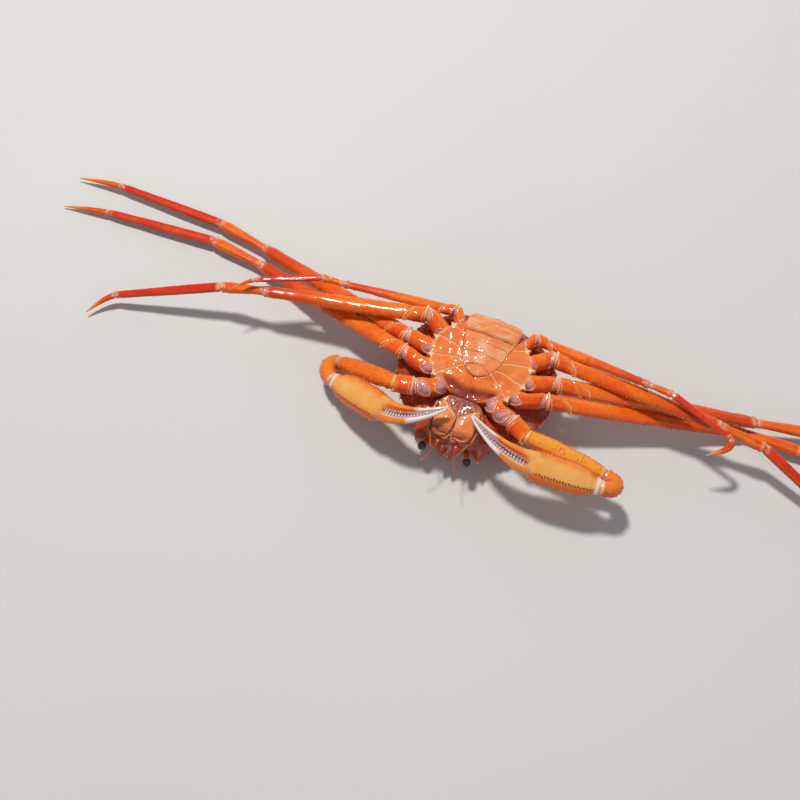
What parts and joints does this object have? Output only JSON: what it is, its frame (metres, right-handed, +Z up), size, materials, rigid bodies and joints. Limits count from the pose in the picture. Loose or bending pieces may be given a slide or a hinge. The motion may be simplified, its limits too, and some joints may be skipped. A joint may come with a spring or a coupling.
{
  "type": "red snow crab",
  "caption": "Red snow crab lying on its back with its claws folded over its mouth and its long walking legs stretched out to both sides, as a still museum model.",
  "frame": {"origin": "floor level under the middle of the carapace, at the flat where the back of the shell rests", "axes": "+Z up, out of the animal's underside; -Y towards its mouth; -X towards its left limbs, +X towards its right limbs"},
  "size_m": [0.7411, 0.1451, 0.0533],
  "materials": {
    "carapace_shell": "wet glossy shell",
    "chest_shell": "wet glossy shell",
    "mouth_field": "wet glossy shell",
    "limb_orange": "wet glossy shell",
    "limb_deep_orange": "wet glossy shell",
    "limb_red": "wet glossy shell",
    "palm_yellow": "wet glossy shell",
    "finger_pale": "wet glossy shell",
    "eye": "wet glossy shell"
  },
  "bodies": {
    "root": {"carapace": "carapace_shell", "sternum": "chest_shell", "abdomen": "chest_shell", "mouth_field": "mouth_field", "mouth_plate_left": "chest_shell", "eye_left": "eye", "antenna_left": "limb_red", "claw_left_base": "limb_deep_orange", "claw_left_merus": "limb_orange", "claw_left_carpus": "limb_red", "claw_left_hand": "palm_yellow", "claw_left_finger": "finger_pale", "leg_1_left_base": "limb_deep_orange", "leg_1_left_merus": "limb_orange", "leg_1_left_carpus": "limb_deep_orange", "leg_1_left_propodus": "limb_red", "leg_1_left_dactyl": "limb_deep_orange", "leg_2_left_base": "limb_deep_orange", "leg_2_left_merus": "limb_orange", "leg_2_left_carpus": "limb_deep_orange", "leg_2_left_propodus": "limb_red", "leg_2_left_dactyl": "limb_deep_orange", "leg_3_left_base": "limb_deep_orange", "leg_3_left_merus": "limb_orange", "leg_3_left_carpus": "limb_deep_orange", "leg_3_left_propodus": "limb_red", "leg_3_left_dactyl": "limb_deep_orange", "leg_4_left_base": "limb_deep_orange", "leg_4_left_merus": "limb_orange", "leg_4_left_carpus": "limb_deep_orange", "leg_4_left_propodus": "limb_red", "leg_4_left_dactyl": "limb_deep_orange", "mouth_plate_right": "chest_shell", "eye_right": "eye", "antenna_right": "limb_red", "claw_right_base": "limb_deep_orange", "claw_right_merus": "limb_orange", "claw_right_carpus": "limb_red", "claw_right_hand": "palm_yellow", "claw_right_finger": "finger_pale", "leg_1_right_base": "limb_deep_orange", "leg_1_right_merus": "limb_orange", "leg_1_right_carpus": "limb_deep_orange", "leg_1_right_propodus": "limb_red", "leg_1_right_dactyl": "limb_deep_orange", "leg_2_right_base": "limb_deep_orange", "leg_2_right_merus": "limb_orange", "leg_2_right_carpus": "limb_deep_orange", "leg_2_right_propodus": "limb_red", "leg_2_right_dactyl": "limb_deep_orange", "leg_3_right_base": "limb_deep_orange", "leg_3_right_merus": "limb_orange", "leg_3_right_carpus": "limb_deep_orange", "leg_3_right_propodus": "limb_red", "leg_3_right_dactyl": "limb_deep_orange", "leg_4_right_base": "limb_deep_orange", "leg_4_right_merus": "limb_orange", "leg_4_right_carpus": "limb_deep_orange", "leg_4_right_propodus": "limb_red", "leg_4_right_dactyl": "limb_deep_orange"}
  },
  "joints": []
}
